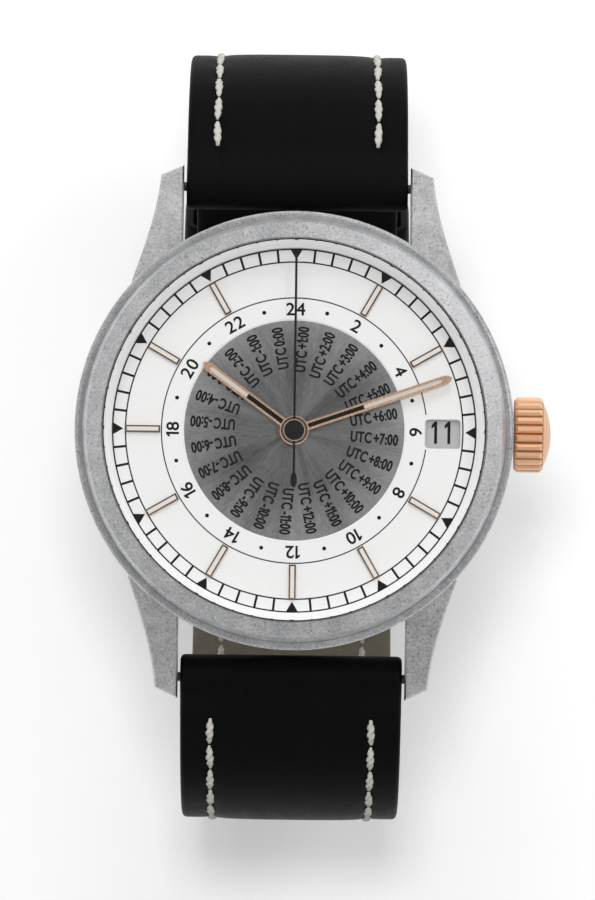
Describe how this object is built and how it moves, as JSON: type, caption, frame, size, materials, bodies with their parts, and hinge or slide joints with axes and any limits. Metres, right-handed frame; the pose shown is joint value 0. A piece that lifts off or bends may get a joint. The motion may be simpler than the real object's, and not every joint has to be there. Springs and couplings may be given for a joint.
{
  "type": "world time wristwatch",
  "caption": "Round automatic wristwatch with a central time zone disc, date window, fluted crown and black leather strap.",
  "frame": {"origin": "centre of the case back's outer face", "axes": "+Z out of the dial, +Y towards 12 o'clock, +X towards 3 o'clock and the crown"},
  "size_m": [0.0417, 0.0678, 0.0576],
  "materials": {
    "case_steel": "bead-blasted and satin",
    "movement_steel": "fine brushed",
    "polished_steel": "polished",
    "rose_gold": "satin rose gold plating",
    "plate_brass": "gilt",
    "rhodium_plate": "rhodium plated, striped",
    "dial_white": "matte silvery white",
    "disc_grey": "sunburst brushed grey",
    "date_white": "matte",
    "hand_black": "black lacquer",
    "sapphire": "clear, coated",
    "ruby": "polished synthetic ruby",
    "seal_rubber": "matte",
    "ring_plastic": "moulded",
    "strap_black": "smooth matte calf",
    "strap_lining": "tan nubuck"
  },
  "bodies": {
    "head": {"case_middle": "case_steel", "bezel": "case_steel", "crystal": "sapphire", "crystal_gasket": "seal_rubber", "rehaut_ring": "dial_white", "dial": "dial_white", "hour_markers": "rose_gold", "case_back": "case_steel", "back_crystal": "sapphire", "case_back_gasket": "seal_rubber", "case_back_screws": "polished_steel", "movement_ring": "ring_plastic", "crown_tube": "polished_steel", "mainplate": "plate_brass", "barrel_bridge": "rhodium_plate", "train_bridge": "rhodium_plate", "balance_cock": "rhodium_plate", "pallet_bridge": "rhodium_plate", "bridge_screws": "polished_steel", "jewels": "ruby", "date_jumper": "movement_steel", "click": "movement_steel", "rotor_bearing": "polished_steel", "hairspring": "movement_steel", "spring_bars": "polished_steel"},
    "seconds": {"seconds_hand": "hand_black", "fourth_wheel": "plate_brass"},
    "minutes": {"minute_hand": "rose_gold", "cannon_pinion": "movement_steel"},
    "hours": {"hour_hand": "rose_gold", "hour_wheel": "plate_brass"},
    "time_zone_disc": {"city_disc": "disc_grey", "day_wheel": "plate_brass"},
    "minute_work": {"minute_wheel": "plate_brass"},
    "second_arbor": {"second_wheel": "plate_brass"},
    "third_arbor": {"third_wheel": "plate_brass"},
    "escape": {"escape_wheel": "movement_steel"},
    "fork": {"pallet_fork": "movement_steel"},
    "balance": {"balance_wheel": "plate_brass"},
    "drum": {"barrel": "plate_brass", "mainspring": "movement_steel"},
    "ratchet": {"ratchet_wheel": "movement_steel"},
    "crown_gear": {"crown_wheel": "movement_steel"},
    "keyless": {"stem_pinions": "movement_steel"},
    "crown_and_stem": {"crown": "rose_gold", "crown_gasket": "seal_rubber", "winding_stem": "movement_steel"},
    "date": {"date_disc": "date_white"},
    "rotor": {"rotor_plate": "rhodium_plate", "rotor_weight": "rose_gold"},
    "strap_short": {"strap_short_leather": "strap_black", "strap_short_lining": "strap_lining", "fixed_keeper": "strap_black", "buckle_bar": "polished_steel"},
    "strap_long": {"strap_long_leather": "strap_black", "strap_long_lining": "strap_lining"},
    "buckle": {"buckle_frame": "case_steel"},
    "tongue": {"buckle_tongue": "case_steel"},
    "loose_keeper": {"free_keeper": "strap_black"}
  },
  "joints": [
    {"name": "seconds_turn", "type": "hinge", "parent": "head", "child": "seconds", "pos_m": [0, 0, 0.00515], "axis": [0, 0, -1], "continuous": true},
    {"name": "minutes_turn", "type": "hinge", "parent": "head", "child": "minutes", "pos_m": [0, 0, 0.0085], "axis": [0, 0, -1], "continuous": true},
    {"name": "hours_turn", "type": "hinge", "parent": "head", "child": "hours", "pos_m": [0, 0, 0.0085], "axis": [0, 0, -1], "continuous": true},
    {"name": "zone_disc_turn", "type": "hinge", "parent": "head", "child": "time_zone_disc", "pos_m": [0, 0, 0.0084], "axis": [0, 0, -1], "continuous": true},
    {"name": "minute_work_turn", "type": "hinge", "parent": "head", "child": "minute_work", "pos_m": [-0.00084, 0.00238, 0.0071], "axis": [0, 0, -1], "continuous": true},
    {"name": "second_arbor_turn", "type": "hinge", "parent": "head", "child": "second_arbor", "pos_m": [-0.00011, 0.00479, 0.0061], "axis": [0, 0, -1], "continuous": true},
    {"name": "third_arbor_turn", "type": "hinge", "parent": "head", "child": "third_arbor", "pos_m": [-0.00244, 0.00205, 0.0061], "axis": [0, 0, -1], "continuous": true},
    {"name": "escape_turn", "type": "hinge", "parent": "head", "child": "escape", "pos_m": [0.00054, -0.00305, 0.0061], "axis": [0, 0, -1], "continuous": true},
    {"name": "fork_rock", "type": "hinge", "parent": "head", "child": "fork", "pos_m": [0.00181, -0.00545, 0.0061], "axis": [0, 0, -1], "range_deg": [-4, 4]},
    {"name": "balance_swing", "type": "hinge", "parent": "head", "child": "balance", "pos_m": [0.00345, -0.00853, 0.0061], "axis": [0, 0, -1], "range_deg": [-135, 135]},
    {"name": "drum_turn", "type": "hinge", "parent": "head", "child": "drum", "pos_m": [0.00559, 0.00666, 0.0061], "axis": [0, 0, -1], "continuous": true},
    {"name": "crown_turn", "type": "hinge", "parent": "head", "child": "keyless", "pos_m": [0.0126, 0, 0.00522], "axis": [1, 0, 0], "continuous": true},
    {"name": "crown_pull", "type": "slide", "parent": "keyless", "child": "crown_and_stem", "axis": [1, 0, 0], "range_m": [0, 0.0012]},
    {"name": "crown_gear_turn", "type": "hinge", "parent": "head", "child": "crown_gear", "pos_m": [0.01085, 0, 0.00315], "axis": [0, 0, -1], "continuous": true},
    {"name": "ratchet_turn", "type": "hinge", "parent": "head", "child": "ratchet", "pos_m": [0.00559, 0.00666, 0.00315], "axis": [0, 0, -1], "continuous": true},
    {"name": "date_turn", "type": "hinge", "parent": "head", "child": "date", "pos_m": [0, 0, 0.0077], "axis": [0, 0, -1], "continuous": true},
    {"name": "rotor_turn", "type": "hinge", "parent": "head", "child": "rotor", "pos_m": [0, 0, 0.0019], "axis": [0, 0, -1], "continuous": true},
    {"name": "strap_short_swing", "type": "hinge", "parent": "head", "child": "strap_short", "pos_m": [0, 0.0216, 0.003], "axis": [1, 0, 0], "range_deg": [0, 70]},
    {"name": "strap_long_swing", "type": "hinge", "parent": "head", "child": "strap_long", "pos_m": [0, -0.0216, 0.003], "axis": [1, 0, 0], "range_deg": [-70, 0]},
    {"name": "buckle_swing", "type": "hinge", "parent": "strap_short", "child": "buckle", "pos_m": [0, -0.003, -0.0415], "axis": [1, 0, 0], "range_deg": [-20, 35]},
    {"name": "tongue_swing", "type": "hinge", "parent": "buckle", "child": "tongue", "pos_m": [0, -0.003, -0.0415], "axis": [1, 0, 0], "range_deg": [0, 50]},
    {"name": "loose_keeper_slide", "type": "hinge", "parent": "strap_short", "child": "loose_keeper", "pos_m": [0, 0.007, -0.0157], "axis": [1, 0, 0], "range_deg": [-13, 30]}
  ],
  "couplings": [
    {"joint": "minutes_turn", "follows": "seconds_turn", "ratio": 0.016667},
    {"joint": "hours_turn", "follows": "seconds_turn", "ratio": 0.0013889},
    {"joint": "zone_disc_turn", "follows": "seconds_turn", "ratio": 0.00069444},
    {"joint": "minute_work_turn", "follows": "seconds_turn", "ratio": -0.0055556},
    {"joint": "second_arbor_turn", "follows": "seconds_turn", "ratio": 0.016667},
    {"joint": "third_arbor_turn", "follows": "seconds_turn", "ratio": -0.13333},
    {"joint": "escape_turn", "follows": "seconds_turn", "ratio": -12},
    {"joint": "drum_turn", "follows": "seconds_turn", "ratio": -0.002381},
    {"joint": "crown_gear_turn", "follows": "crown_turn", "ratio": -0.30952},
    {"joint": "ratchet_turn", "follows": "crown_turn", "ratio": 0.18642},
    {"joint": "strap_long_swing", "follows": "strap_short_swing", "ratio": -1}
  ]
}
